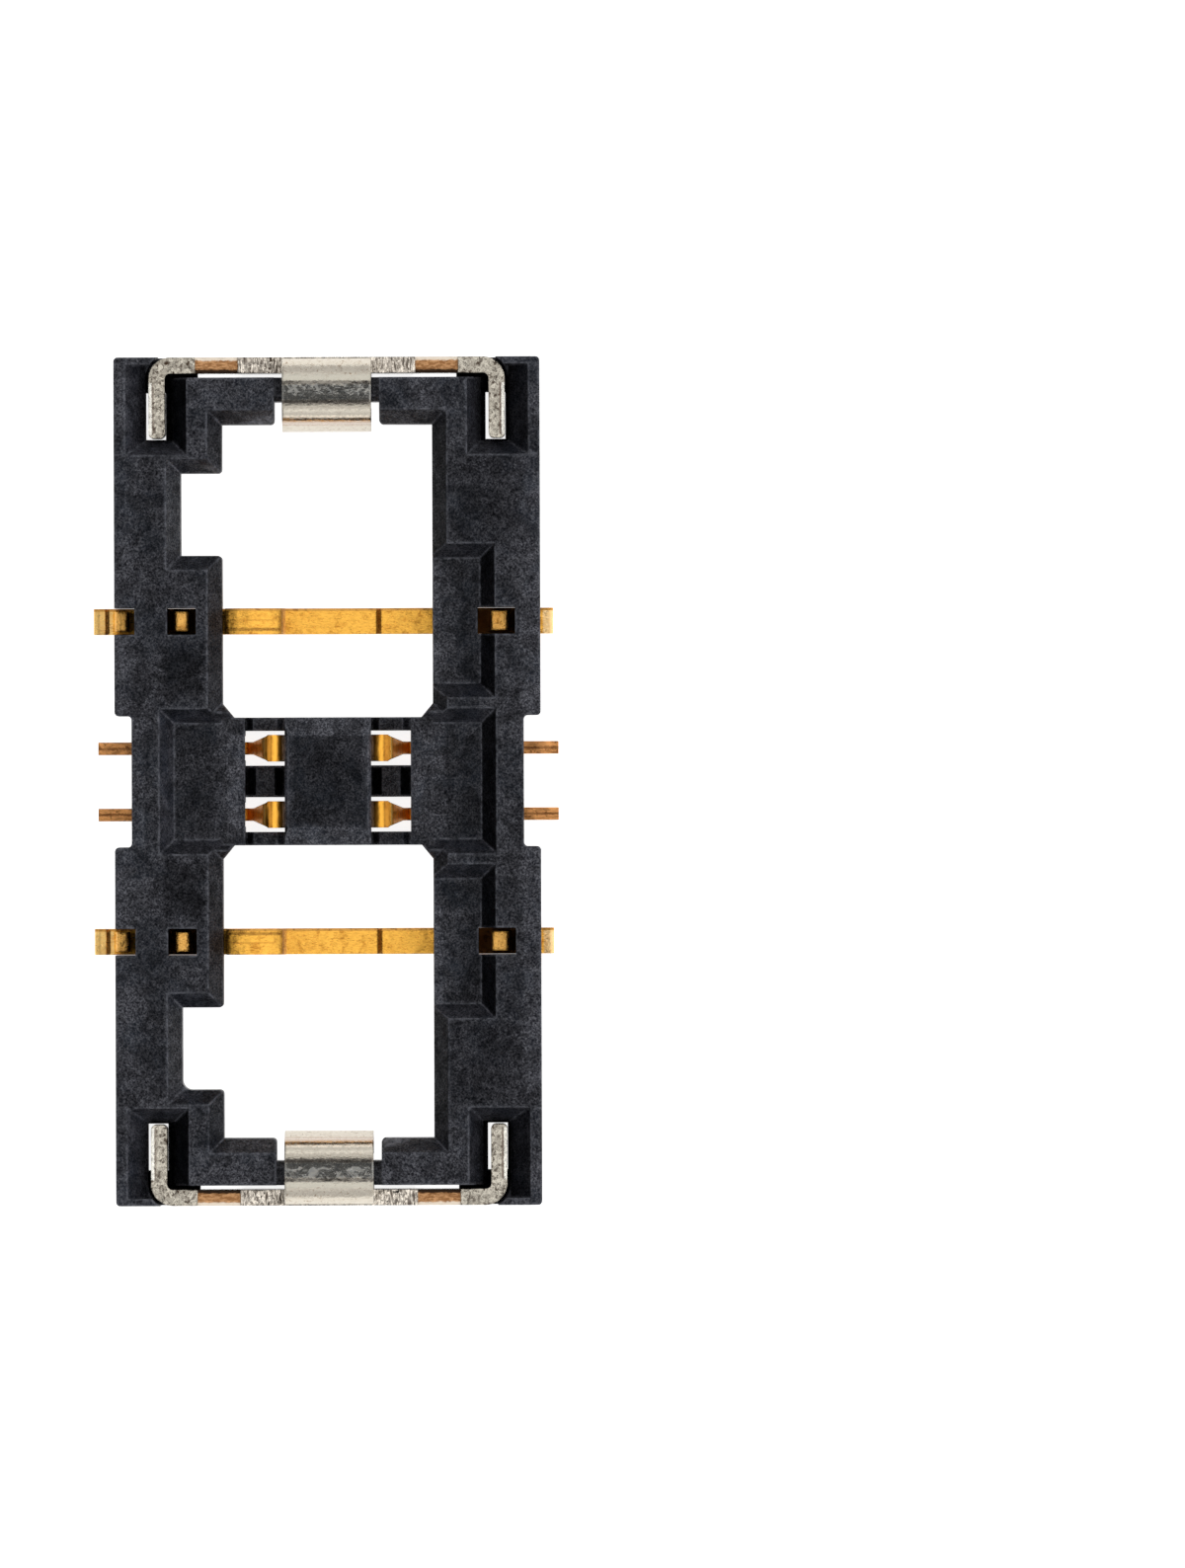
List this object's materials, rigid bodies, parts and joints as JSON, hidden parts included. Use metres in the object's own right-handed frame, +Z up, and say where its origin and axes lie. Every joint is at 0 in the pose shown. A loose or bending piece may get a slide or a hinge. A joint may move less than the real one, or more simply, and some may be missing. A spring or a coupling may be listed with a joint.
{
  "type": "flexible printed circuit connector",
  "caption": "Low board-mounted receptacle with a dark moulded frame, a central island, gold spring contacts and plated hold-downs over both end walls.",
  "frame": {"origin": "on the solder plane, under the middle of the moulded housing", "axes": "+Z up from the board towards the mating plug, +Y along the part towards the rear end, +X towards the wall with the lowered bays"},
  "size_m": [0.0028, 0.0052, 0.0008],
  "materials": {
    "housing": "moulded filled resin, fine grey speckle",
    "contact_gold": "gold plating over rolled copper alloy",
    "bracket_plating": "pale satin plating with fine rolling lines"
  },
  "bodies": {
    "root": {"housing": "housing", "power_contact_rear": "contact_gold", "power_contact_front": "contact_gold", "signal_contact_rear_left": "contact_gold", "signal_contact_rear_right": "contact_gold", "signal_contact_front_left": "contact_gold", "signal_contact_front_right": "contact_gold", "hold_down_rear": "bracket_plating", "hold_down_front": "bracket_plating"}
  },
  "joints": []
}
